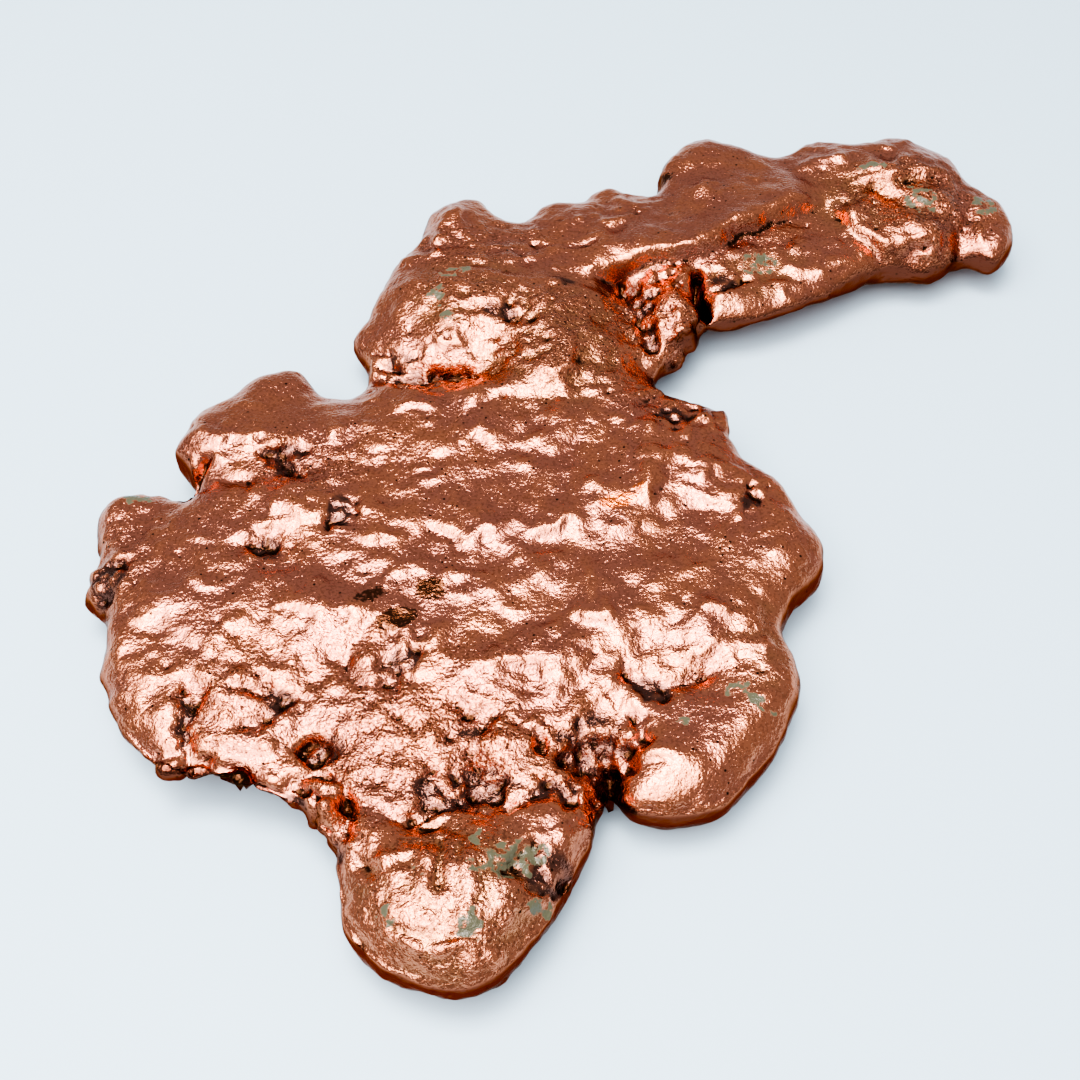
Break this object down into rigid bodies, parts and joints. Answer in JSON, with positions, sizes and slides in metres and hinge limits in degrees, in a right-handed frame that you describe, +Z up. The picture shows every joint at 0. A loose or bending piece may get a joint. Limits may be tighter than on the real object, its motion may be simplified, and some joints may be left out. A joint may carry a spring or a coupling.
{
  "type": "native copper nugget",
  "caption": "Flat lobed slab of water-worn native copper with a rounded body, a toe and a long bent arm, lying on worn feet.",
  "frame": {"origin": "Centre of the plan's bounding box, on the table under the nugget.", "axes": "+Z is up, out of the slab. The toe points to -Y, and the long arm leaves towards +X and +Y."},
  "size_m": [0.1174, 0.1268, 0.0116],
  "materials": {
    "copper": "Worn native copper, semi-polished on the crests, dull and pitted in the hollows, with grey-green mineral films."
  },
  "bodies": {
    "root": {"nugget": "copper"}
  },
  "joints": []
}
